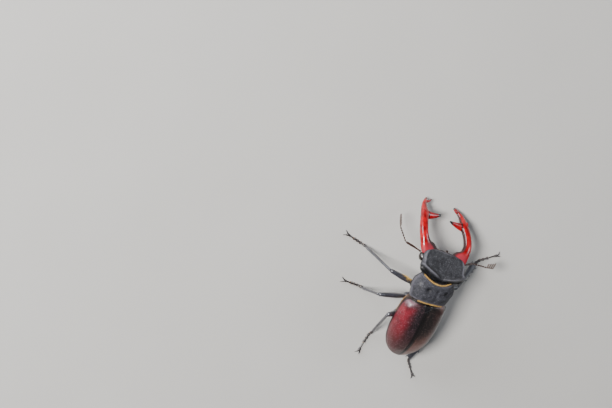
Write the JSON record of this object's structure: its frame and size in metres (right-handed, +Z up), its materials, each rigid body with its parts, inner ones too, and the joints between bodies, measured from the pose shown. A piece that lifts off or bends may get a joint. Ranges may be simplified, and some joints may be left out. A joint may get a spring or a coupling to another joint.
{
  "type": "stag beetle",
  "caption": "Life-size still model of a male stag beetle with large antler-like jaws, standing with its fore body raised.",
  "frame": {"origin": "centre of the bounding box at floor level, under the body between the hip joints", "axes": "+Z up from the floor; -Y is ahead of the beetle; +X is its left. The body's own length lies in the Y-Z plane, raised 20 degrees at the front"},
  "size_m": [0.0575, 0.0624, 0.0207],
  "materials": {
    "jaw": "glossy deep red horn-like shell, near black on the teeth",
    "wing_case": "satin maroon shell with fine pits and a dark seam",
    "shield": "matt, finely grained dark grey shell",
    "scutellum": "smooth shiny black shell",
    "eye": "shiny black-brown compound eye",
    "leg": "satin black-brown shell with sparse golden hairs",
    "belly": "dark brown shell with a short golden down",
    "feeler": "dark brown shell, velvety on the club",
    "mouth_brush": "dense golden-orange hairs"
  },
  "bodies": {
    "root": {"abdomen": "belly", "antenna_left_club": "feeler", "antenna_left_funicle": "feeler", "antenna_left_scape": "feeler", "antenna_right_club": "feeler", "antenna_right_funicle": "feeler", "antenna_right_scape": "feeler", "elytron_left": "wing_case", "elytron_right": "wing_case", "eye_left": "eye", "eye_right": "eye", "fore_left_coxa": "leg", "fore_left_femur": "leg", "fore_left_tarsus": "leg", "fore_left_tibia": "leg", "fore_right_coxa": "leg", "fore_right_femur": "leg", "fore_right_tarsus": "leg", "fore_right_tibia": "leg", "head": "shield", "hind_left_coxa": "leg", "hind_left_femur": "leg", "hind_left_tarsus": "leg", "hind_left_tibia": "leg", "hind_right_coxa": "leg", "hind_right_femur": "leg", "hind_right_tarsus": "leg", "hind_right_tibia": "leg", "labrum": "shield", "mandible_left": "jaw", "mandible_right": "jaw", "middle_left_coxa": "leg", "middle_left_femur": "leg", "middle_left_tarsus": "leg", "middle_left_tibia": "leg", "middle_right_coxa": "leg", "middle_right_femur": "leg", "middle_right_tarsus": "leg", "middle_right_tibia": "leg", "mouth": "mouth_brush", "palp_left": "feeler", "palp_right": "feeler", "prothorax": "shield", "scutellum": "scutellum", "thorax": "belly"}
  },
  "joints": []
}
